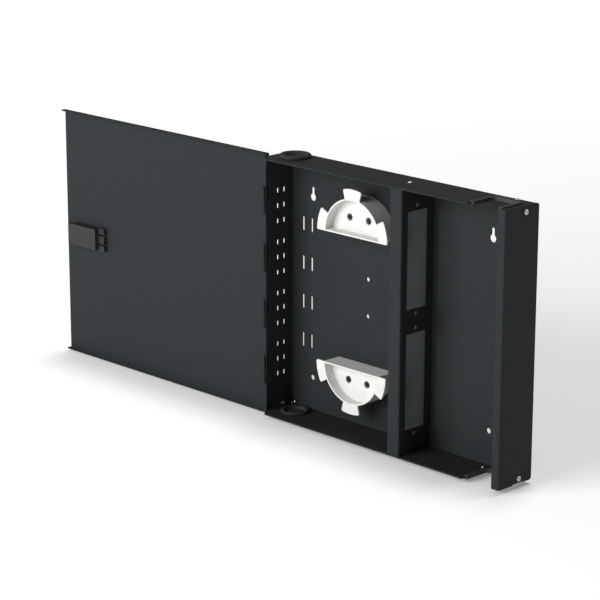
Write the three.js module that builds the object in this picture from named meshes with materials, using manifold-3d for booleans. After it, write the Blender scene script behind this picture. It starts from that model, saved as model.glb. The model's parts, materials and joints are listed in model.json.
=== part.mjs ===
// Wall-mounted fiber termination box, door swung open by half a turn.
// Millimetres. +X to the right, +Y into the wall, +Z up. The origin is the middle of the back face.
import * as THREE from 'three';
import { mergeVertices } from 'three/addons/utils/BufferGeometryUtils.js';
import Module from 'manifold-3d';

const wasm = await Module();
wasm.setup();

// ---- driving dimensions ----
const BOX_W = 353.8;
const BOX_D = 52.15;
const BOX_H = 295.2;
const SHEET = 1.5;
const BEND_R = 2;
const GAP = 0.3;
const OVERCUT = 1;
const OVERLAP = 0.1;
const SIDES = { ring: 28, round: 20, small: 16, tiny: 12 };
const SEGMENTS = { arc: 6, drum: 22, tab: 5, trim: 5, hole: 4, slotEnd: 2 };

const FRONT_CHAMFER = { alongX: 8, alongY: 10 };
const CABLE_NOTCH = { left: 303.1, right: 343, depth: 41, corner: 8 };
const GROMMET = { x: 26, y: 30.8, holeR: 14 };
// Radius and height from the middle of the plate, positive to the outside.
const GROMMET_PROFILE = [
  [0, -0.5], [10.5, -0.5], [12, -3], [13.2, -3.4], [15.6, -3.4], [16.5, -2.6], [16.5, -1.05],
  [13.7, -1.05], [13.7, 1.05], [18, 1.05], [18.2, 2.4], [17.6, 3.9], [16.2, 4.9], [14.6, 5],
  [12.9, 4.3], [11.5, 2.6], [10.9, 0.5], [0, 0.5],
];
const TAB = { left: [24, 43], right: [22, 41], height: 13 };
const RIVET = {
  headR: 2.9, brimH: 0.7, domeR: 2.1, headH: 1.2, shankR: 1.9, tailR: 2.7, tailH: 2,
  mandrelR: 1, mandrelH: 0.8,
};
const CORNER_RIVET_Z = 5.8;
const LEFT_RIVET_Y = 33.3;
const RIGHT_RIVET_Y = 31.4;
const PARTITION_RIVET = { x: 201.5, y: 25.8 };

const KEYHOLE = { xs: [33.8, 295.1], z: 248.1, r: 4.5, neckR: 2.15, top: 259.7 };
const ROUND_HOLE = { xs: [34.1, 295.6], z: 39, r: 3.1 };
const BACK_SLOT = { xs: [19, 32.3], zs: [81.1, 125.9, 170.7, 215.7], w: 3, h: 16.4 };
const BACK_HOLE = { x: 118.7, zs: [128, 170], r: 2.5 };
const RELIEF = { x: 4.8, z: 3.6, r: 1.6 };

const WALL_FRONT = 9.5;
const WALL_SLOT = {
  ys: [28.3, 38.1], first: 41.7, step: 17.5, group: 59.15, groups: 4, rows: 3, w: 2.8, h: 6.1,
};

const HINGE = {
  x: -1.05, y: 8.6, ringR: 1.45, boreR: 0.85, pinR: 0.55, headR: 1.3, halfL: 15.5, rootBack: 10.6,
  count: 4, pitch: 65.2,
};
const HINGE_NOTCH = { back: 10, half: 16.5 };
const HINGE_SLIT = { front: 11.2, back: 14.1 };

const FLANGE_LEFT = 343.8;
const CHANNEL_TOP = 295.8;
const CHANNEL_CORNER = 3;
const CHANNEL_RECESS = { from: 22, to: 40, h: 1.2 };

const PARTITION = { right: 213.65, flangeLeft: 197.6, footLeft: 196, footY: [8, 44] };
const WINDOW = { y: [9.8, 39.4], centres: [81.8, 215.1], h: 106.7, corner: 1.2 };
const ADAPTER_HOLE = { y: 24.6, pitch: 117.475, r: 2.6 };

const DOOR = { hingeX: -2.1, freeX: -355, inner: 17.7, lip: 12, bottom: -2.5, top: 297.7 };

const SPOOL = {
  x: 118, front: 25, flatZ: [222.2, 73.4], outerR: 41.6, wall: 1.8,
  tabR: 52.4, tabRootR: 40.6, tabT: 2.2, tabCorner: 2, tabDegrees: [[0, 29], [75, 105], [151, 180]],
  floor: 36.5, floorT: 2.2, bossX: 14, bossZ: 17.8, bossR: 6, wellR: 4.2, wellBack: 39.6, holeR: 1.9,
};
const SCREW = { headR: 3.2, headH: 2, shankR: 1.5, crossHalfL: 2, crossHalfW: 0.4 };
const STUD = {
  headR: 2.2, brimH: 0.9, domeR: 1.6, headH: 1.5, shankR: 1.3, holeR: 1.6, tailR: 2, tailH: 1.2,
};
const STUDS = { top: { x: 330.5, y: 45.2 }, bottom: { x: 298.7, y: 40 } };
const TRIM = { front: 5.8, over: 1.6, into: 3, lip: 1 };

// Latch, measured from the door's free edge (u) and up from its inner face (w).
const LATCH_Z = BOX_H / 2;
const HOUSING = { u: [17.5, 62.5], top: 10, half: 12.9, wall: 1.4, roof: 1.2, end: 1.5 };
const BOLT = { tip: 5, tail: 46, catchW: 2.6, noseW: 3.4, bevel: 5, seatU: 19, seatW: 0.6, half: 11.2 };
const BOLT_SPRING = { turns: 5, coilR: 3, wireR: 0.45, w: 4.6, steps: 10, sides: 5 };
const CLIP = { u: [62.8, 72.8], top: 5, half: 14, slotFrom: 64.3, slotZ: 6.05, slotHalf: 1.1, slotW: 1 };
const PULL = {
  postU: [32, 44], postHalf: 4, plateU: [29.5, 46.5], plateHalf: 7.6, plateOut: 3.5, ribOut: 4.5,
  ribs: 4, ribHalf: 0.5, ribInset: 1,
};
const PULL_SLOT = { u: [30, 52], half: 5 };
const BEZEL = { u: [16, 66], half: 15, openU: [27, 55], openHalf: 8, out: 3.3, corner: 3, openCorner: 1 };

// ---- frame helpers: distances from the box's left, front and bottom faces ----
const fromLeft = (a) => a - BOX_W / 2;
const fromFront = (b) => b - BOX_D;
const fromBottom = (c) => c - BOX_H / 2;
const doorU = (u) => DOOR.freeX + u;
const doorW = (w) => DOOR.inner - w;

// ---- solids ----
const AXES = {
  x: [new THREE.Vector3(0, 1, 0), new THREE.Vector3(0, 0, 1), new THREE.Vector3(1, 0, 0)],
  y: [new THREE.Vector3(1, 0, 0), new THREE.Vector3(0, 0, 1), new THREE.Vector3(0, -1, 0)],
  z: [new THREE.Vector3(1, 0, 0), new THREE.Vector3(0, 1, 0), new THREE.Vector3(0, 0, 1)],
};

function toSolid(geometry) {
  geometry.deleteAttribute('normal');
  geometry.deleteAttribute('uv');
  const merged = mergeVertices(geometry);
  const index = merged.index.array;
  const triVerts = [];
  for (let i = 0; i < index.length; i += 3) {
    const [a, b, c] = index.slice(i, i + 3);
    if (a !== b && b !== c && c !== a) triVerts.push(a, b, c);
  }
  return new wasm.Manifold(new wasm.Mesh({
    numProp: 3,
    vertProperties: new Float32Array(merged.attributes.position.array),
    triVerts: new Uint32Array(triVerts),
  }));
}

// A shape in box distances, swept along an axis from one box distance to another.
// Shape coordinates are (y, z) for axis x, (x, z) for axis y and (x, y) for axis z.
function prism(axis, shape, from, to, curveSegments = SEGMENTS.arc) {
  const options = { depth: to - from, bevelEnabled: false, curveSegments };
  const geometry = new THREE.ExtrudeGeometry(shape, options);
  geometry.applyMatrix4(new THREE.Matrix4().makeBasis(...AXES[axis]));
  const start = { x: axis === 'x' ? from : 0, y: axis === 'y' ? to : 0, z: axis === 'z' ? from : 0 };
  geometry.translate(fromLeft(start.x), fromFront(start.y), fromBottom(start.z));
  return toSolid(geometry);
}

function block([x0, x1], [y0, y1], [z0, z1]) {
  const geometry = new THREE.BoxGeometry(x1 - x0, y1 - y0, z1 - z0);
  geometry.translate(fromLeft((x0 + x1) / 2), fromFront((y0 + y1) / 2), fromBottom((z0 + z1) / 2));
  return toSolid(geometry);
}

function polygon(points) {
  return new THREE.Shape(points.map(([u, v]) => new THREE.Vector2(u, v)));
}

function circle(u, v, r, sides = SIDES.round) {
  const points = Array.from({ length: sides }, (_, i) => {
    const angle = ((i + 0.5) / sides) * 2 * Math.PI;
    return [u + r * Math.cos(angle), v + r * Math.sin(angle)];
  });
  return polygon(points);
}

function roundedRect(u0, u1, v0, v1, r) {
  const shape = new THREE.Shape();
  shape.moveTo(u0 + r, v0);
  shape.lineTo(u1 - r, v0);
  shape.absarc(u1 - r, v0 + r, r, -Math.PI / 2, 0);
  shape.lineTo(u1, v1 - r);
  shape.absarc(u1 - r, v1 - r, r, 0, Math.PI / 2);
  shape.lineTo(u0 + r, v1);
  shape.absarc(u0 + r, v1 - r, r, Math.PI / 2, Math.PI);
  shape.lineTo(u0, v0 + r);
  shape.absarc(u0 + r, v0 + r, r, Math.PI, 1.5 * Math.PI);
  return shape;
}

const slot = (u, v, w, h) => roundedRect(u - w / 2, u + w / 2, v - h / 2, v + h / 2, (w - OVERLAP) / 2);
const rod = (axis, u, v, r, from, to, sides) => prism(axis, circle(u, v, r, sides), from, to);
const joinAll = (solids) => solids.reduce((sum, solid) => sum.add(solid));
const cutAll = (solid, cutters) => cutters.reduce((rest, cutter) => rest.subtract(cutter), solid);

// ---- the scene graph ----
const box = new THREE.Group();

const FINISH = {
  powderCoat: { color: 0x3a3c40, roughness: 0.55, metalness: 0.2 },
  whitePlastic: { color: 0xf1eee8, roughness: 0.45, metalness: 0 },
  greyPlastic: { color: 0x4a484d, roughness: 0.5, metalness: 0 },
  rubber: { color: 0x232325, roughness: 0.85, metalness: 0 },
  trimRubber: { color: 0x4b4844, roughness: 0.8, metalness: 0 },
  zinc: { color: 0xa9abb0, roughness: 0.35, metalness: 0.9 },
  darkSteel: { color: 0x2c2d30, roughness: 0.45, metalness: 0.8 },
  springSteel: { color: 0x8e9096, roughness: 0.3, metalness: 0.95 },
};

function addPart(name, solid, finish) {
  const { vertProperties, triVerts } = solid.getMesh();
  const geometry = new THREE.BufferGeometry();
  geometry.setAttribute('position', new THREE.BufferAttribute(new Float32Array(vertProperties), 3));
  geometry.setIndex(new THREE.BufferAttribute(new Uint32Array(triVerts), 1));
  geometry.computeVertexNormals();
  const mesh = new THREE.Mesh(geometry, new THREE.MeshStandardMaterial(FINISH[finish]));
  mesh.name = name;
  box.add(mesh);
}

// ---- body shell: back panel, top plate and bottom plate folded from one sheet ----
const HINGE_ZS = Array.from({ length: HINGE.count }, (_, i) => (
  BOX_H / 2 + (i - (HINGE.count - 1) / 2) * HINGE.pitch
));
const RIVET_ZS = [CORNER_RIVET_Z, BOX_H - CORNER_RIVET_Z];
const SHELL_RIGHT = BOX_W - SHEET - GAP;

function shellProfile() {
  const r = BEND_R;
  const inner = BEND_R - SHEET;
  const shape = new THREE.Shape();
  shape.moveTo(0, 0);
  shape.lineTo(BOX_D - r, 0);
  shape.absarc(BOX_D - r, r, r, -Math.PI / 2, 0);
  shape.lineTo(BOX_D, BOX_H - r);
  shape.absarc(BOX_D - r, BOX_H - r, r, 0, Math.PI / 2);
  shape.lineTo(0, BOX_H);
  shape.lineTo(0, BOX_H - SHEET);
  shape.absarc(BOX_D - r, BOX_H - r, inner, Math.PI / 2, 0, true);
  shape.absarc(BOX_D - r, r, inner, 0, -Math.PI / 2, true);
  shape.lineTo(0, SHEET);
  return shape;
}

// The notch outline grown by a margin: open at the front, round at its two back corners.
function notchShape(grow, front = -OVERCUT) {
  const r = CABLE_NOTCH.corner + grow;
  const left = CABLE_NOTCH.left - grow;
  const right = CABLE_NOTCH.right + grow;
  const back = CABLE_NOTCH.depth + grow;
  const shape = new THREE.Shape();
  shape.moveTo(left, front);
  shape.lineTo(right, front);
  shape.absarc(right - r, back - r, r, 0, Math.PI / 2);
  shape.absarc(left + r, back - r, r, Math.PI / 2, Math.PI);
  return shape;
}

function keyholeShape(x) {
  const { z, r, neckR, top } = KEYHOLE;
  const open = Math.asin(neckR / r);
  const shape = new THREE.Shape();
  shape.moveTo(x + neckR, top - neckR);
  shape.absarc(x, top - neckR, neckR, 0, Math.PI);
  shape.absarc(x, z, r, Math.PI / 2 + open, 2.5 * Math.PI - open);
  return shape;
}

const spoolUp = (i) => (i === 0 ? 1 : -1);
const bossPlaces = (i) => [-1, 1].map((side) => (
  [SPOOL.x + side * SPOOL.bossX, SPOOL.flatZ[i] + spoolUp(i) * SPOOL.bossZ]
));

function backCutters() {
  const through = (shape) => prism('y', shape, BOX_D - BEND_R, BOX_D + OVERCUT, SEGMENTS.hole);
  return [
    ...KEYHOLE.xs.map((x) => keyholeShape(x)),
    ...ROUND_HOLE.xs.map((x) => circle(x, ROUND_HOLE.z, ROUND_HOLE.r, SIDES.small)),
    ...BACK_SLOT.xs.flatMap((x) => BACK_SLOT.zs.map((z) => slot(x, z, BACK_SLOT.w, BACK_SLOT.h))),
    ...BACK_HOLE.zs.map((z) => circle(BACK_HOLE.x, z, BACK_HOLE.r, SIDES.small)),
    circle(RELIEF.x, RELIEF.z, RELIEF.r, SIDES.tiny),
    ...[0, 1].flatMap(bossPlaces).map(([x, z]) => circle(x, z, SPOOL.holeR, SIDES.tiny)),
  ].map(through);
}

function rivetHoles(side) {
  const y = side === 'left' ? LEFT_RIVET_Y : RIGHT_RIVET_Y;
  const span = side === 'left' ? [-OVERCUT, 3 * SHEET] : [BOX_W - 3 * SHEET, BOX_W + OVERCUT];
  return RIVET_ZS.map((z) => rod('x', y, z, RIVET.shankR + GAP, ...span, SIDES.small));
}

function makeShell() {
  const tabZ = [[SHEET - OVERLAP, TAB.height], [BOX_H - TAB.height, BOX_H - SHEET + OVERLAP]];
  const tabs = tabZ.flatMap((z) => [
    block([SHEET + GAP, 2 * SHEET + GAP], TAB.left, z),
    block([SHELL_RIGHT - SHEET, SHELL_RIGHT], TAB.right, z),
  ]);
  const upright = (shape) => prism('z', shape, -OVERCUT, BOX_H + OVERCUT);
  const plateCuts = [
    polygon([[-OVERCUT, -OVERCUT], [FRONT_CHAMFER.alongX, -OVERCUT], [FRONT_CHAMFER.alongX, 0],
      [0, FRONT_CHAMFER.alongY], [-OVERCUT, FRONT_CHAMFER.alongY]]),
    notchShape(0),
    circle(GROMMET.x, GROMMET.y, GROMMET.holeR, SIDES.ring),
    circle(PARTITION_RIVET.x, PARTITION_RIVET.y, RIVET.shankR + GAP, SIDES.small),
  ].map(upright);
  const studHoles = [
    rod('z', STUDS.top.x, STUDS.top.y, STUD.holeR, BOX_H - 2 * SHEET, BOX_H + OVERCUT, SIDES.tiny),
    rod('z', STUDS.bottom.x, STUDS.bottom.y, STUD.holeR, -OVERCUT, 2 * SHEET, SIDES.tiny),
  ];
  const wallSeat = block([-OVERCUT, SHEET + GAP], [BOX_D - BEND_R - OVERLAP, BOX_D + OVERCUT],
    [-OVERCUT, BOX_H + OVERCUT]);
  const flangeSeat = block([CABLE_NOTCH.right - OVERCUT, BOX_W], [-OVERCUT, SHEET + GAP],
    [-OVERCUT, BOX_H + OVERCUT]);
  return cutAll(joinAll([prism('x', shellProfile(), 0, SHELL_RIGHT), ...tabs]), [
    ...plateCuts, ...studHoles, ...backCutters(), ...rivetHoles('left'), ...rivetHoles('right'),
    wallSeat, flangeSeat,
  ]);
}

const hingeBore = ([z0, z1]) => (
  rod('z', HINGE.x, HINGE.y, HINGE.boreR, z0 - OVERCUT, z1 + OVERCUT, SIDES.tiny)
);

// ---- hinge-side wall: rolled knuckles on its front edge, a slit behind each for the door's clearance ----
function makeHingeWall() {
  const plate = block([0, SHEET], [WALL_FRONT, BOX_D], [SHEET + GAP, BOX_H - SHEET - GAP]);
  const slots = [];
  for (let group = 0; group < WALL_SLOT.groups; group += 1) {
    for (let row = 0; row < WALL_SLOT.rows; row += 1) {
      const z = WALL_SLOT.first + group * WALL_SLOT.group + row * WALL_SLOT.step;
      WALL_SLOT.ys.forEach((y) => {
        const outline = slot(y, z, WALL_SLOT.w, WALL_SLOT.h);
        slots.push(prism('x', outline, -OVERCUT, 2 * SHEET, SEGMENTS.slotEnd));
      });
    }
  }
  const openings = HINGE_ZS.flatMap((z) => [
    [WALL_FRONT - OVERCUT, HINGE_NOTCH.back],
    [HINGE_SLIT.front, HINGE_SLIT.back],
  ].map((y) => block([-OVERCUT, 2 * SHEET], y, [z - HINGE_NOTCH.half, z + HINGE_NOTCH.half])));
  const knuckles = HINGE_ZS.map((z) => {
    const span = [z - HINGE.halfL, z - GAP / 2];
    const body = joinAll([
      rod('z', HINGE.x, HINGE.y, HINGE.ringR, ...span, SIDES.small),
      block([HINGE.x, SHEET / 2], [HINGE.y, HINGE.rootBack], span),
    ]);
    return body.subtract(hingeBore(span));
  });
  return joinAll([cutAll(plate, [...slots, ...openings, ...rivetHoles('left')]), ...knuckles]);
}

function makeHingePin(z) {
  const headTop = z - HINGE.halfL - GAP;
  const headBottom = z - HINGE_NOTCH.half + GAP;
  const pinTop = z + HINGE.halfL - OVERCUT;
  return rod('z', HINGE.x, HINGE.y, HINGE.headR, headBottom, headTop, SIDES.small)
    .add(rod('z', HINGE.x, HINGE.y, HINGE.pinR, headTop - OVERLAP, pinTop, SIDES.tiny));
}

// ---- latch-side channel: side wall with the front flange that the bolt catches ----
function makeChannel() {
  const inner = BEND_R - SHEET;
  const shape = new THREE.Shape();
  shape.moveTo(FLANGE_LEFT, 0);
  shape.lineTo(BOX_W - BEND_R, 0);
  shape.absarc(BOX_W - BEND_R, BEND_R, BEND_R, -Math.PI / 2, 0);
  shape.lineTo(BOX_W, BOX_D);
  shape.lineTo(BOX_W - SHEET, BOX_D);
  shape.absarc(BOX_W - BEND_R, BEND_R, inner, 0, -Math.PI / 2, true);
  shape.lineTo(FLANGE_LEFT, SHEET);
  const recess = block([BOX_W - 2 * SHEET, BOX_W + OVERCUT], [CHANNEL_RECESS.from, CHANNEL_RECESS.to],
    [-OVERCUT, CHANNEL_RECESS.h]);
  const side = new THREE.Shape();
  const r = CHANNEL_CORNER;
  const rear = BOX_D - r;
  side.moveTo(-OVERCUT, 0);
  side.lineTo(rear, 0);
  side.absarc(rear, r, r, -Math.PI / 2, 0);
  side.absarc(rear, CHANNEL_TOP - r, r, 0, Math.PI / 2);
  side.lineTo(-OVERCUT, CHANNEL_TOP);
  const rounded = prism('z', shape, 0, CHANNEL_TOP)
    .intersect(prism('x', side, FLANGE_LEFT - OVERCUT, BOX_W + OVERCUT));
  return cutAll(rounded, [recess, ...rivetHoles('right')]);
}

// ---- adapter partition: web with two windows, front flange, top and bottom feet ----
function makePartition() {
  const { right, flangeLeft, footLeft, footY } = PARTITION;
  const low = SHEET + GAP;
  const high = BOX_H - SHEET - GAP;
  const inner = BEND_R - SHEET;
  const shape = new THREE.Shape();
  shape.moveTo(flangeLeft, 0);
  shape.lineTo(right - BEND_R, 0);
  shape.absarc(right - BEND_R, BEND_R, BEND_R, -Math.PI / 2, 0);
  shape.lineTo(right, BOX_D - SHEET - GAP);
  shape.lineTo(right - SHEET, BOX_D - SHEET - GAP);
  shape.absarc(right - BEND_R, BEND_R, inner, 0, -Math.PI / 2, true);
  shape.lineTo(flangeLeft, SHEET);
  const feet = [[low, low + SHEET], [high - SHEET, high]].map((z) => (
    block([footLeft, right - OVERLAP], footY, z)
  ));
  const sideways = (s) => prism('x', s, right - 3 * SHEET, right + OVERCUT);
  const cuts = [
    ...WINDOW.centres.map((z) => (
      sideways(roundedRect(...WINDOW.y, z - WINDOW.h / 2, z + WINDOW.h / 2, WINDOW.corner))
    )),
    ...WINDOW.centres.flatMap((z) => [-1, 1].map((side) => (
      sideways(circle(ADAPTER_HOLE.y, z + (side * ADAPTER_HOLE.pitch) / 2, ADAPTER_HOLE.r, SIDES.small))
    ))),
    rod('z', PARTITION_RIVET.x, PARTITION_RIVET.y, RIVET.shankR + GAP, 0, BOX_H, SIDES.small),
  ];
  return cutAll(joinAll([prism('z', shape, low, high), ...feet]), cuts);
}

// ---- slack spool: half drum with a mid-depth floor, two screw wells and three tabs ----
function halfDisc(flat, up) {
  const r = SPOOL.outerR;
  const start = up ? 0 : Math.PI;
  const shape = new THREE.Shape();
  shape.absarc(SPOOL.x, flat, r, start, start + Math.PI);
  return shape;
}

function insideDisc(flat, up) {
  const r = SPOOL.outerR - SPOOL.wall;
  const lift = Math.asin(SPOOL.wall / r);
  const start = up ? 0 : Math.PI;
  const shape = new THREE.Shape();
  shape.absarc(SPOOL.x, flat, r, start + lift, start + Math.PI - lift);
  return shape;
}

// A tab is a sector of a ring with its two outer corners rounded.
function tabShape(flat, degrees) {
  const [a0, a1] = degrees.map(THREE.MathUtils.degToRad);
  const { tabR, tabRootR, tabCorner } = SPOOL;
  const turn = tabCorner / tabR;
  const at = (r, angle) => [SPOOL.x + r * Math.cos(angle), flat + r * Math.sin(angle)];
  const shape = new THREE.Shape();
  shape.moveTo(...at(tabRootR, a0));
  shape.lineTo(...at(tabR - tabCorner, a0));
  shape.quadraticCurveTo(...at(tabR, a0), ...at(tabR, a0 + turn));
  shape.absarc(SPOOL.x, flat, tabR, a0 + turn, a1 - turn);
  shape.quadraticCurveTo(...at(tabR, a1), ...at(tabR - tabCorner, a1));
  shape.lineTo(...at(tabRootR, a1));
  shape.absarc(SPOOL.x, flat, tabRootR, a1, a0, true);
  return shape;
}

function makeSpool(i) {
  const flat = SPOOL.flatZ[i];
  const up = spoolUp(i) > 0;
  const back = BOX_D - SHEET - GAP;
  const halfTurn = up ? 0 : 180;
  const tabs = SPOOL.tabDegrees.map(([a0, a1]) => {
    const outline = tabShape(flat, [a0 + halfTurn, a1 + halfTurn]);
    return prism('y', outline, SPOOL.front, SPOOL.front + SPOOL.tabT, SEGMENTS.tab);
  });
  const inside = insideDisc(flat, up);
  const drum = prism('y', halfDisc(flat, up), SPOOL.front, back, SEGMENTS.drum);
  const cup = prism('y', inside, SPOOL.front - OVERCUT, SPOOL.floor, SEGMENTS.drum);
  const hollow = prism('y', inside, SPOOL.floor + SPOOL.floorT, back + OVERCUT, SEGMENTS.drum);
  const bosses = bossPlaces(i).map(([x, z]) => rod('y', x, z, SPOOL.bossR, SPOOL.floor + OVERLAP, back));
  const wells = bossPlaces(i).flatMap(([x, z]) => [
    rod('y', x, z, SPOOL.wellR, SPOOL.floor - OVERCUT, SPOOL.wellBack),
    rod('y', x, z, SPOOL.holeR, SPOOL.wellBack - OVERCUT, back + OVERCUT, SIDES.tiny),
  ]);
  return cutAll(joinAll([drum.subtract(cup).subtract(hollow), ...tabs, ...bosses]), wells);
}

function makeSpoolScrew([x, z]) {
  const headBack = SPOOL.wellBack - GAP;
  const headFront = headBack - SCREW.headH;
  const head = rod('y', x, z, SCREW.headR, headFront, headBack);
  const shank = rod('y', x, z, SCREW.shankR, headBack - OVERLAP, BOX_D - OVERLAP, SIDES.tiny);
  const { crossHalfL, crossHalfW } = SCREW;
  const cross = [[crossHalfL, crossHalfW], [crossHalfW, crossHalfL]].map(([w, h]) => (
    block([x - w, x + w], [headFront - OVERCUT, headFront + SCREW.headH / 2], [z - h, z + h])
  ));
  return cutAll(head.add(shank), cross);
}

// ---- rivets, studs and rubber pieces ----
// A blind rivet along an axis: head outside, shank through the sheets, tail inside.
function makeRivet(axis, u, v, faceOut, faceIn, dims = RIVET) {
  const out = Math.sign(faceOut - faceIn);
  const span = (a, b) => [Math.min(a, b), Math.max(a, b)];
  const headFrom = faceOut + out * GAP;
  const headTop = headFrom + out * dims.headH;
  const tailFrom = faceIn - out * GAP;
  const solid = joinAll([
    rod(axis, u, v, dims.headR, ...span(headFrom, headFrom + out * dims.brimH)),
    rod(axis, u, v, dims.domeR, ...span(headFrom, headTop)),
    rod(axis, u, v, dims.shankR, ...span(headFrom + out * OVERLAP, tailFrom - out * OVERLAP), SIDES.small),
    rod(axis, u, v, dims.tailR, ...span(tailFrom, tailFrom - out * dims.tailH), SIDES.small),
  ]);
  if (!dims.mandrelR) return solid;
  const mandrel = span(headTop + out * OVERCUT, headTop - out * dims.mandrelH);
  return solid.subtract(rod(axis, u, v, dims.mandrelR, ...mandrel, SIDES.tiny));
}

// A grommet turned around a vertical axis: rim outside, flange inside, membrane across its middle.
function makeGrommet(plateZ, outward) {
  const profile = GROMMET_PROFILE.map(([r, z]) => new THREE.Vector2(r, outward * z));
  if (outward < 0) profile.reverse();
  const geometry = new THREE.LatheGeometry(profile, SIDES.ring);
  geometry.rotateX(Math.PI / 2);
  geometry.translate(fromLeft(GROMMET.x), fromFront(GROMMET.y), fromBottom(plateZ));
  return toSolid(geometry);
}

// Edge trim: a C section that wraps the notch's left, back and right edges.
// It starts behind the strip that the closed door's flange covers.
function makeTrim(plateZ) {
  const { front, over, into, lip } = TRIM;
  const half = SHEET / 2 + GAP;
  const layer = (shape, reach) => prism('z', shape, plateZ - reach, plateZ + reach, SEGMENTS.trim);
  const outer = layer(notchShape(over, front), half + lip);
  const opening = layer(notchShape(-into), half + lip + OVERCUT);
  const sheetSlot = layer(notchShape(over + OVERCUT), half)
    .subtract(layer(notchShape(-GAP), half + OVERCUT));
  return outer.subtract(opening).subtract(sheetSlot);
}

// ---- door: a shallow tray, here swung back beside the box ----
function makeDoor() {
  const { hingeX, freeX, inner, lip, bottom, top } = DOOR;
  const outer = inner + SHEET;
  const sideProfile = new THREE.Shape();
  sideProfile.moveTo(lip, bottom);
  sideProfile.lineTo(outer - BEND_R, bottom);
  sideProfile.absarc(outer - BEND_R, bottom + BEND_R, BEND_R, -Math.PI / 2, 0);
  sideProfile.lineTo(outer, top - BEND_R);
  sideProfile.absarc(outer - BEND_R, top - BEND_R, BEND_R, 0, Math.PI / 2);
  sideProfile.lineTo(lip, top);
  const planProfile = new THREE.Shape();
  planProfile.moveTo(freeX, lip);
  planProfile.lineTo(hingeX, lip);
  planProfile.absarc(hingeX - BEND_R, outer - BEND_R, BEND_R, 0, Math.PI / 2);
  planProfile.lineTo(freeX, outer);
  const lugLeft = hingeX - SHEET;
  const hollow = block([freeX - OVERCUT, lugLeft], [lip - OVERCUT, inner], [bottom + SHEET, top - SHEET]);
  const tray = prism('x', sideProfile, freeX, hingeX)
    .intersect(prism('z', planProfile, bottom - OVERCUT, top + OVERCUT))
    .subtract(hollow);
  const knuckles = HINGE_ZS.map((z) => {
    const span = [z + GAP / 2, z + HINGE.halfL];
    const body = joinAll([
      rod('z', HINGE.x, HINGE.y, HINGE.ringR, ...span, SIDES.small),
      block([lugLeft, HINGE.x - HINGE.boreR - OVERLAP], [HINGE.y, lip], span),
      block([lugLeft, hingeX], [HINGE.y, lip + BEND_R], span),
    ]);
    return body.subtract(hingeBore(span));
  });
  const pullSlot = block(PULL_SLOT.u.map(doorU), [inner - OVERCUT, outer + OVERCUT],
    [LATCH_Z - PULL_SLOT.half, LATCH_Z + PULL_SLOT.half]);
  return joinAll([tray, ...knuckles]).subtract(pullSlot);
}

// ---- latch ----
const latchZ = (half) => [LATCH_Z - half, LATCH_Z + half];
const overPanel = (w0, w1) => [doorW(w1), doorW(w0)];

function makeLatchHousing() {
  const [u0, u1] = HOUSING.u;
  const { top, half, wall, roof, end } = HOUSING;
  const shell = block([doorU(u0), doorU(u1)], overPanel(GAP, top), latchZ(half));
  const tunnelU = [doorU(u0 - OVERCUT), doorU(u1 - end)];
  return shell.subtract(block(tunnelU, overPanel(-OVERCUT, top - roof), latchZ(half - wall)));
}

function makeLatchBolt() {
  const { tip, tail, catchW, noseW, bevel, seatU, seatW, half } = BOLT;
  const top = noseW + bevel;
  const outline = [
    [tip, catchW], [tip, noseW], [tip + bevel, top], [tail, top],
    [tail, seatW], [seatU, seatW], [seatU, catchW],
  ].map(([u, w]) => [doorU(u), doorW(w)]);
  return prism('z', polygon(outline), ...latchZ(half));
}

function makeBoltSpring() {
  const { turns, coilR, wireR, w, steps, sides } = BOLT_SPRING;
  const from = BOLT.tail + GAP + wireR;
  const length = HOUSING.u[1] - HOUSING.end - GAP - wireR - from;
  const points = Array.from({ length: turns * steps + 1 }, (_, i) => {
    const angle = (i / steps) * 2 * Math.PI;
    return new THREE.Vector3(
      fromLeft(doorU(from + (length * i) / (turns * steps))),
      fromFront(doorW(w)) + coilR * Math.cos(angle),
      fromBottom(LATCH_Z) + coilR * Math.sin(angle),
    );
  });
  const geometry = new THREE.ExtrudeGeometry(circle(0, 0, wireR, sides), {
    steps: turns * steps, extrudePath: new THREE.CatmullRomCurve3(points), bevelEnabled: false,
  });
  return toSolid(geometry);
}

function makeLatchClip() {
  const body = block(CLIP.u.map(doorU), overPanel(GAP, CLIP.top), latchZ(CLIP.half));
  const slots = [-1, 1].map((side) => {
    const z = LATCH_Z + side * CLIP.slotZ;
    const span = [doorU(CLIP.slotFrom), doorU(CLIP.u[1] + OVERCUT)];
    return block(span, overPanel(CLIP.slotW, CLIP.top + OVERCUT), [z - CLIP.slotHalf, z + CLIP.slotHalf]);
  });
  return cutAll(body, slots);
}

function makeLatchPull() {
  const behind = -SHEET - GAP;
  const { postU, postHalf, plateU, plateHalf, plateOut } = PULL;
  const { ribOut, ribs, ribHalf, ribInset } = PULL;
  const post = block(postU.map(doorU), overPanel(behind - OVERLAP, GAP), latchZ(postHalf));
  const plate = block(plateU.map(doorU), overPanel(-plateOut, behind), latchZ(plateHalf));
  const ribBars = Array.from({ length: ribs }, (_, i) => {
    const u = plateU[0] + ((i + 0.5) * (plateU[1] - plateU[0])) / ribs;
    return block([doorU(u - ribHalf), doorU(u + ribHalf)], overPanel(-ribOut, -plateOut + OVERLAP),
      latchZ(plateHalf - ribInset));
  });
  return joinAll([post, plate, ...ribBars]);
}

function makeLatchBezel() {
  const outline = (u, half, corner) => roundedRect(doorU(u[0]), doorU(u[1]), ...latchZ(half), corner);
  const { u, half, corner, openU, openHalf, openCorner, out } = BEZEL;
  return prism('y', outline(u, half, corner), doorW(-SHEET - GAP), doorW(-out))
    .subtract(prism('y', outline(openU, openHalf, openCorner), doorW(0), doorW(-out - OVERCUT)));
}

// ---- assembly ----
addPart('body_shell', makeShell(), 'powderCoat');
addPart('hinge_side_wall', makeHingeWall(), 'powderCoat');
addPart('latch_side_channel', makeChannel(), 'powderCoat');
addPart('adapter_partition', makePartition(), 'powderCoat');

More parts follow.
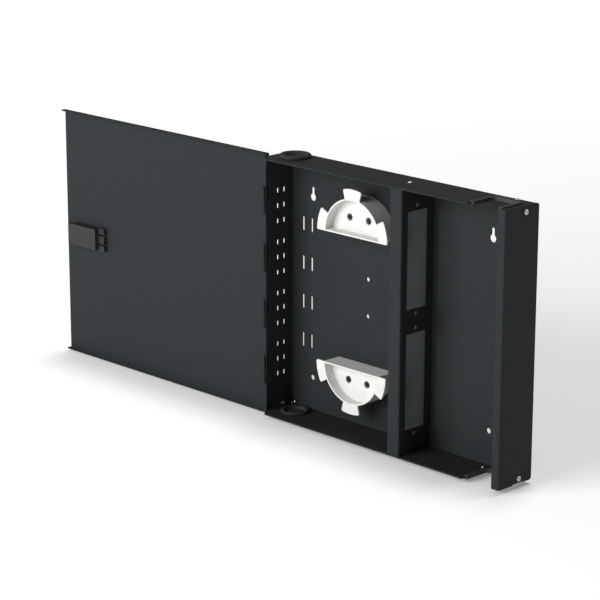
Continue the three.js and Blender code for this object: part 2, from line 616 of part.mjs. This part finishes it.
['upper', 'lower'].forEach((which, i) => {
  addPart(`slack_spool_${which}`, makeSpool(i), 'whitePlastic');
  bossPlaces(i).forEach((place, k) => {
    addPart(`spool_screw_${which}_${['left', 'right'][k]}`, makeSpoolScrew(place), 'darkSteel');
  });
});

const LEVELS = [
  { name: 'top', plateZ: BOX_H - SHEET / 2, outer: BOX_H, outward: 1, rivetZ: RIVET_ZS[1] },
  { name: 'bottom', plateZ: SHEET / 2, outer: 0, outward: -1, rivetZ: RIVET_ZS[0] },
];
LEVELS.forEach(({ name, plateZ, outer, outward, rivetZ }) => {
  const sheets = 2 * SHEET + GAP;
  addPart(`cable_grommet_${name}`, makeGrommet(plateZ, outward), 'rubber');
  addPart(`edge_trim_${name}`, makeTrim(plateZ), 'trimRubber');
  addPart(`corner_rivet_left_${name}`, makeRivet('x', LEFT_RIVET_Y, rivetZ, 0, sheets), 'zinc');
  const right = makeRivet('x', RIGHT_RIVET_Y, rivetZ, BOX_W, BOX_W - sheets);
  addPart(`corner_rivet_right_${name}`, right, 'zinc');
  const { x, y } = PARTITION_RIVET;
  addPart(`partition_rivet_${name}`, makeRivet('z', x, y, outer, outer - outward * sheets), 'zinc');
  // Both stud heads face up: above the top plate, and inside above the bottom plate.
  const stud = STUDS[name];
  const upperFace = plateZ + SHEET / 2;
  addPart(`notch_stud_${name}`, makeRivet('z', stud.x, stud.y, upperFace, upperFace - SHEET, STUD), 'zinc');
});

HINGE_ZS.forEach((z, i) => addPart(`hinge_pin_${i + 1}`, makeHingePin(z), 'darkSteel'));

addPart('door', makeDoor(), 'powderCoat');
addPart('latch_housing', makeLatchHousing(), 'greyPlastic');
addPart('latch_bolt', makeLatchBolt(), 'greyPlastic');
addPart('latch_spring', makeBoltSpring(), 'springSteel');
addPart('latch_clip', makeLatchClip(), 'greyPlastic');
addPart('latch_pull', makeLatchPull(), 'greyPlastic');
addPart('latch_bezel', makeLatchBezel(), 'greyPlastic');

export default box;
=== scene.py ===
"""Looks for the wall-mounted fiber termination box. Metres, +X right, +Y into the wall, +Z up."""
import json
import math

import bmesh
import bpy
from mathutils import Matrix, Vector


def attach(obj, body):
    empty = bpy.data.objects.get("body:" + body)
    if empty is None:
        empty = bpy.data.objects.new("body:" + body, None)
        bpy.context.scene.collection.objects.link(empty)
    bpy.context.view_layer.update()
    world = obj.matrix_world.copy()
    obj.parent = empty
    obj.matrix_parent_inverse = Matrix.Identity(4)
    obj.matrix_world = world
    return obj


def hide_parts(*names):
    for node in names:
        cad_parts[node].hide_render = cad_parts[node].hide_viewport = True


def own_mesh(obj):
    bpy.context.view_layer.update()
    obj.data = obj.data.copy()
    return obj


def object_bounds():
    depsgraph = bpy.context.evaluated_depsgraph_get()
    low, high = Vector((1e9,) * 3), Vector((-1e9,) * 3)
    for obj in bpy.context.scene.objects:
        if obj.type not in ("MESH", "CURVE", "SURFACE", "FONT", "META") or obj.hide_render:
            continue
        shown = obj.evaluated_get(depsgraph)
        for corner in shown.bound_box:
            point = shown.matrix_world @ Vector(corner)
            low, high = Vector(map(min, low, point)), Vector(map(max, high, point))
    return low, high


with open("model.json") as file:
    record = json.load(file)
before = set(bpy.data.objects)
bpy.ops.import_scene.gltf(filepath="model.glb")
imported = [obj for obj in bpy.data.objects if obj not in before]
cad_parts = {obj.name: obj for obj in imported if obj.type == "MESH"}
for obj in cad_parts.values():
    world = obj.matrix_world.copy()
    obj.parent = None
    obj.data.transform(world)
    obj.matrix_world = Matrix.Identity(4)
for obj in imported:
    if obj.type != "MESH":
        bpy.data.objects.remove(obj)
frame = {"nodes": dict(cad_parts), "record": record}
cad_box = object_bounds()

MM = 0.001
WHITE = (1, 1, 1, 1)

# ---- edges and surfaces ----
# Points closer together than this are one point.
SAME_POINT = 0.002 * MM
# Faces that meet at a smaller angle than this are one flat face.
HIDDEN_EDGE = math.radians(1)
# Faces that meet at a larger angle than this form a corner, and not a bend or a round wall.
SHARP_EDGE = math.radians(32)
# How strongly large faces outweigh small ones in the shading, of at most 100.
LARGE_FACE_WEIGHT = 100
BEVEL_SEGMENTS = 2
EDGE_WIDTH = {
    "white_plastic": 0.35 * MM,
    "grommet_rubber": 0.3 * MM,
    "trim_rubber": 0.3 * MM,
    "rivet_aluminium": 0.2 * MM,
    "zinc_steel": 0.2 * MM,
    "dark_steel": 0.15 * MM,
    "latch_plastic": 0.3 * MM,
}
# The folded sheets have no bevel: their material rounds their edges by this much.
SHEET_EDGE = 0.35 * MM
SHEET_EDGE_SAMPLES = 6

# ---- noise ----
# Noise values mostly lie between these two.
NOISE_LOW = 0.3
NOISE_HIGH = 0.7
EVEN_GRAIN = (1, 1, 1)
DRAWN_GRAIN = (1, 4, 4)


# ---- materials ----
class Shader:
    """A node material with one Principled shader and helpers for patterns in object space."""

    def __init__(self, name, roughness, metallic=0.0, specular=0.5):
        self.material = bpy.data.materials.new(name)
        self.material.use_nodes = True
        self.tree = self.material.node_tree
        self.main = self.tree.nodes["Principled BSDF"]
        self.main.inputs["Roughness"].default_value = roughness
        self.main.inputs["Metallic"].default_value = metallic
        self.main.inputs["Specular IOR Level"].default_value = specular
        self.place = self.tree.nodes.new("ShaderNodeTexCoord").outputs["Object"]

    def noise(self, size, detail=2.0, stretch=EVEN_GRAIN):
        """A noise value whose marks are about size across."""
        mapping = self.tree.nodes.new("ShaderNodeMapping")
        mapping.inputs["Scale"].default_value = stretch
        self.tree.links.new(self.place, mapping.inputs["Vector"])
        node = self.tree.nodes.new("ShaderNodeTexNoise")
        node.inputs["Scale"].default_value = 1 / size
        node.inputs["Detail"].default_value = detail
        self.tree.links.new(mapping.outputs["Vector"], node.inputs["Vector"])
        return node.outputs["Fac"]

    def spread(self, value, low, high, start=NOISE_LOW, end=NOISE_HIGH):
        """The value rescaled so that start becomes low and end becomes high."""
        node = self.tree.nodes.new("ShaderNodeMapRange")
        node.inputs["From Min"].default_value = start
        node.inputs["From Max"].default_value = end
        node.inputs["To Min"].default_value = low
        node.inputs["To Max"].default_value = high
        self.tree.links.new(value, node.inputs["Value"])
        return node.outputs["Result"]

    def colour(self, value, dark, light):
        """Mottles the base colour between dark and light."""
        ramp = self.tree.nodes.new("ShaderNodeValToRGB")
        dark_stop, light_stop = ramp.color_ramp.elements
        dark_stop.position = NOISE_LOW
        dark_stop.color = (*dark, 1)
        light_stop.position = NOISE_HIGH
        light_stop.color = (*light, 1)
        self.tree.links.new(value, ramp.inputs["Fac"])
        self.tree.links.new(ramp.outputs["Color"], self.main.inputs["Base Color"])

    def rough(self, value, low, high):
        """Varies the roughness between low and high."""
        self.tree.links.new(self.spread(value, low, high), self.main.inputs["Roughness"])

    def bump(self, value, height, strength, edge=0.0):
        """Adds a fine relief, over edges rounded by the width of edge if there is one."""
        node = self.tree.nodes.new("ShaderNodeBump")
        node.inputs["Distance"].default_value = height
        node.inputs["Strength"].default_value = strength
        self.tree.links.new(value, node.inputs["Height"])
        self.tree.links.new(node.outputs["Normal"], self.main.inputs["Normal"])
        if edge:
            rounded = self.tree.nodes.new("ShaderNodeBevel")
            rounded.samples = SHEET_EDGE_SAMPLES
            rounded.inputs["Radius"].default_value = edge
            self.tree.links.new(rounded.outputs["Normal"], node.inputs["Normal"])

    def fade_with_distance(self, socket, near, far):
        """Fades a socket with distance from the object's origin. Near and far are (distance, value)."""
        length = self.tree.nodes.new("ShaderNodeVectorMath")
        length.operation = "LENGTH"
        self.tree.links.new(self.place, length.inputs[0])
        (start, low), (end, high) = near, far
        faded = self.spread(length.outputs["Value"], low, high, start, end)
        self.tree.links.new(faded, self.main.inputs[socket])


def powder_coat():
    """Charcoal powder coat with a fine even texture."""
    shader = Shader("powder_coat", roughness=0.5, specular=0.07)
    mottle = shader.noise(size=2.2 * MM, detail=3)
    shader.colour(mottle, dark=(0.0186, 0.0211, 0.0228), light=(0.0234, 0.0264, 0.0285))
    shader.rough(shader.noise(size=0.9 * MM), low=0.44, high=0.6)
    texture = shader.noise(size=0.55 * MM, detail=3)
    shader.bump(texture, height=0.05 * MM, strength=0.45, edge=SHEET_EDGE)
    return shader.material


def white_plastic():
    """Satin moulded plastic of the spools."""
    shader = Shader("white_plastic", roughness=0.42, specular=0.45)
    shader.colour(shader.noise(size=9 * MM), dark=(0.63, 0.62, 0.60), light=(0.68, 0.67, 0.65))
    shader.rough(shader.noise(size=1.6 * MM), low=0.36, high=0.5)
    shader.bump(shader.noise(size=0.5 * MM), height=0.02 * MM, strength=0.25)
    return shader.material


def rubber(name, dark, light):
    """Matte rubber of the grommets and edge trims."""
    shader = Shader(name, roughness=0.8, specular=0.3)
    shader.colour(shader.noise(size=1.8 * MM, detail=3), dark, light)
    shader.rough(shader.noise(size=1.1 * MM), low=0.66, high=0.86)
    shader.bump(shader.noise(size=0.4 * MM, detail=3), height=0.04 * MM, strength=0.5)
    return shader.material


def metal(name, dark, light, smoothest, roughest, grain=EVEN_GRAIN):
    """Bare, plated or blackened metal, with fine marks along its grain."""
    shader = Shader(name, roughness=smoothest, metallic=1.0)
    shader.colour(shader.noise(size=1.2 * MM, detail=3), dark, light)
    shader.rough(shader.noise(size=0.5 * MM, stretch=grain), smoothest, roughest)
    shader.bump(shader.noise(size=0.25 * MM, stretch=grain), height=0.01 * MM, strength=0.3)
    return shader.material


def moulded_nylon():
    """Grey glass-filled nylon of the latch."""
    shader = Shader("latch_plastic", roughness=0.5, specular=0.2)
    mottle = shader.noise(size=1.4 * MM, detail=3)
    shader.colour(mottle, dark=(0.0215, 0.0210, 0.0235), light=(0.0275, 0.0265, 0.0300))
    shader.rough(shader.noise(size=0.7 * MM), low=0.42, high=0.6)
    shader.bump(shader.noise(size=0.3 * MM), height=0.03 * MM, strength=0.4)
    return shader.material


MATERIALS = {
    "powder_coat": powder_coat(),
    "white_plastic": white_plastic(),
    "grommet_rubber": rubber(
        "grommet_rubber",
        dark=(0.016, 0.016, 0.017),
        light=(0.026, 0.026, 0.028),
    ),
    "trim_rubber": rubber(
        "trim_rubber",
        dark=(0.034, 0.032, 0.029),
        light=(0.048, 0.045, 0.041),
    ),
    "rivet_aluminium": metal(
        "rivet_aluminium",
        dark=(0.50, 0.51, 0.53),
        light=(0.64, 0.65, 0.67),
        smoothest=0.28,
        roughest=0.46,
    ),
    "dark_steel": metal(
        "dark_steel",
        dark=(0.030, 0.030, 0.032),
        light=(0.050, 0.050, 0.054),
        smoothest=0.34,
        roughest=0.5,
    ),
    "zinc_steel": metal(
        "zinc_steel",
        dark=(0.44, 0.45, 0.47),
        light=(0.58, 0.59, 0.61),
        smoothest=0.24,
        roughest=0.42,
    ),
    "spring_steel": metal(
        "spring_steel",
        dark=(0.36, 0.37, 0.39),
        light=(0.48, 0.49, 0.51),
        smoothest=0.2,
        roughest=0.36,
        grain=DRAWN_GRAIN,
    ),
    "latch_plastic": moulded_nylon(),
}

# ---- pieces ----
SLOT_OF = {row["node"]: row["material_slot"] for row in frame["record"]["subparts"]}
BODY_OF = {node: body for body, nodes in frame["record"]["behaviour"]["bodies"].items() for node in nodes}


def finish_piece(piece, node):
    """Gives a piece its CAD node's body, slot and material, and shows it in the node's place."""
    slot = SLOT_OF[node]
    piece.data.materials.clear()
    piece.data.materials.append(MATERIALS[slot])
    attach(piece, BODY_OF[node])
    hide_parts(node)


def add_bevel(piece, width):
    """Rounds the piece's corners with real faces."""
    bevel = piece.modifiers.new("edges", "BEVEL")
    bevel.width = width
    bevel.segments = BEVEL_SEGMENTS
    bevel.limit_method = "ANGLE"
    bevel.angle_limit = SHARP_EDGE
    bevel.use_clamp_overlap = False


def add_even_shading(piece):
    """Keeps a flat panel evenly shaded beside small bends and rounded edges."""
    weighted = piece.modifiers.new("flat_panels", "WEIGHTED_NORMAL")
    weighted.mode = "FACE_AREA"
    weighted.weight = LARGE_FACE_WEIGHT
    weighted.keep_sharp = True


def smooth_copy(node, merge_flats=True):
    """The node's shape as a new smooth piece, with the triangles of its flat faces merged if asked."""
    mesh = frame["nodes"][node].data.copy()
    mesh.name = f"{node}_finished"
    shape = bmesh.new()
    shape.from_mesh(mesh)
    bmesh.ops.remove_doubles(shape, verts=shape.verts, dist=SAME_POINT)
    if merge_flats:
        bmesh.ops.dissolve_limit(
            shape, angle_limit=HIDDEN_EDGE, verts=shape.verts, edges=shape.edges, delimit=set()
        )
    bmesh.ops.recalc_face_normals(shape, faces=shape.faces)
    for face in shape.faces:
        face.smooth = True
    shape.to_mesh(mesh)
    shape.free()
    piece = bpy.data.objects.new(f"{node}_finished", mesh)
    bpy.context.scene.collection.objects.link(piece)
    finish_piece(piece, node)
    return piece


def folded_sheet(node):
    """The node as a piece that keeps its own triangles and its sharp corners."""
    piece = smooth_copy(node, merge_flats=False)
    piece.data.set_sharp_from_angle(angle=SHARP_EDGE)
    add_even_shading(piece)


def rounded_part(node, width):
    """The node as a piece with corners rounded by the width."""
    piece = smooth_copy(node)
    add_bevel(piece, width)
    add_even_shading(piece)


def shortening_spring(node):
    """The node as a smooth piece with a mesh of its own."""
    piece = smooth_copy(node)
    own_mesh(piece)


for node_name, slot_name in SLOT_OF.items():
    if slot_name == "powder_coat":
        folded_sheet(node_name)
    elif slot_name in EDGE_WIDTH:
        rounded_part(node_name, EDGE_WIDTH[slot_name])
shortening_spring("latch_spring")

# ---- camera ----
CAMERA_PLACE = Vector((1.6187, -1.77582, 0.68355))
CAMERA_RIGHT = Vector((0.7052, 0.7090, 0.0021))
CAMERA_UP = Vector((-0.1929, 0.1890, 0.9628))
LENS_MM = 139.06
SENSOR_MM = 36

camera_data = bpy.data.cameras.new("camera")
camera_data.lens = LENS_MM
camera_data.sensor_width = SENSOR_MM
camera = bpy.data.objects.new("camera", camera_data)
bpy.context.scene.collection.objects.link(camera)
camera_turn = Matrix((CAMERA_RIGHT, CAMERA_UP, CAMERA_RIGHT.cross(CAMERA_UP))).transposed()
camera.matrix_world = Matrix.Translation(CAMERA_PLACE) @ camera_turn.to_4x4()
bpy.context.scene.camera = camera

# ---- floor ----
FLOOR_GAP = 0.5 * MM
FLOOR_HALF = 14.0
FLOOR_CORNERS = ((-1, -1), (1, -1), (1, 1), (-1, 1))
FLOOR_COLOUR = (0.85, 0.85, 0.85, 1)
# Distance from the frame's origin, and the glow there: dim around the box, brighter far away.
FLOOR_GLOW_NEAR = (0.5, 0.18)
FLOOR_GLOW_FAR = (3.0, 0.5)

floor_z = cad_box[0].z - FLOOR_GAP
floor_points = [(x * FLOOR_HALF, y * FLOOR_HALF, floor_z) for x, y in FLOOR_CORNERS]
floor_mesh = bpy.data.meshes.new("floor")
floor_mesh.from_pydata(floor_points, [], [tuple(range(len(floor_points)))])
floor = bpy.data.objects.new("floor", floor_mesh)
bpy.context.scene.collection.objects.link(floor)
floor_shader = Shader("floor", roughness=0.9, specular=0.0)
floor_shader.main.inputs["Base Color"].default_value = FLOOR_COLOUR
floor_shader.main.inputs["Emission Color"].default_value = WHITE
floor_shader.fade_with_distance("Emission Strength", FLOOR_GLOW_NEAR, FLOOR_GLOW_FAR)
floor_mesh.materials.append(floor_shader.material)

# ---- lights ----
WORLD_STRENGTH = 0.2
KEY_PLACE = Vector((-0.9, -2.8, 1.0))
KEY_TARGET = Vector((-0.15, 0, 0))
KEY_SIZE = (2.4, 2.0)
KEY_WATTS = 108
SUN_STRENGTH = 1.35
SUN_WIDTH = math.radians(14)
SUN_DIRECTION = Vector((0.03, -0.14, -1))


def add_light(data, direction, place=(0, 0, 0)):
    """Puts a light at the place, shining in the direction."""
    light = bpy.data.objects.new(data.name, data)
    light.location = place
    light.rotation_euler = direction.to_track_quat("-Z", "Y").to_euler()
    bpy.context.scene.collection.objects.link(light)


world = bpy.data.worlds.new("studio")
bpy.context.scene.world = world
world.use_nodes = True
background = world.node_tree.nodes["Background"]
background.inputs["Color"].default_value = WHITE
background.inputs["Strength"].default_value = WORLD_STRENGTH

key = bpy.data.lights.new("key", "AREA")
key.shape = "RECTANGLE"
key.size, key.size_y = KEY_SIZE
key.energy = KEY_WATTS
add_light(key, KEY_TARGET - KEY_PLACE, KEY_PLACE)

sun = bpy.data.lights.new("from_behind", "SUN")
sun.energy = SUN_STRENGTH
sun.angle = SUN_WIDTH
add_light(sun, SUN_DIRECTION)

bpy.context.scene.view_settings.view_transform = "Standard"
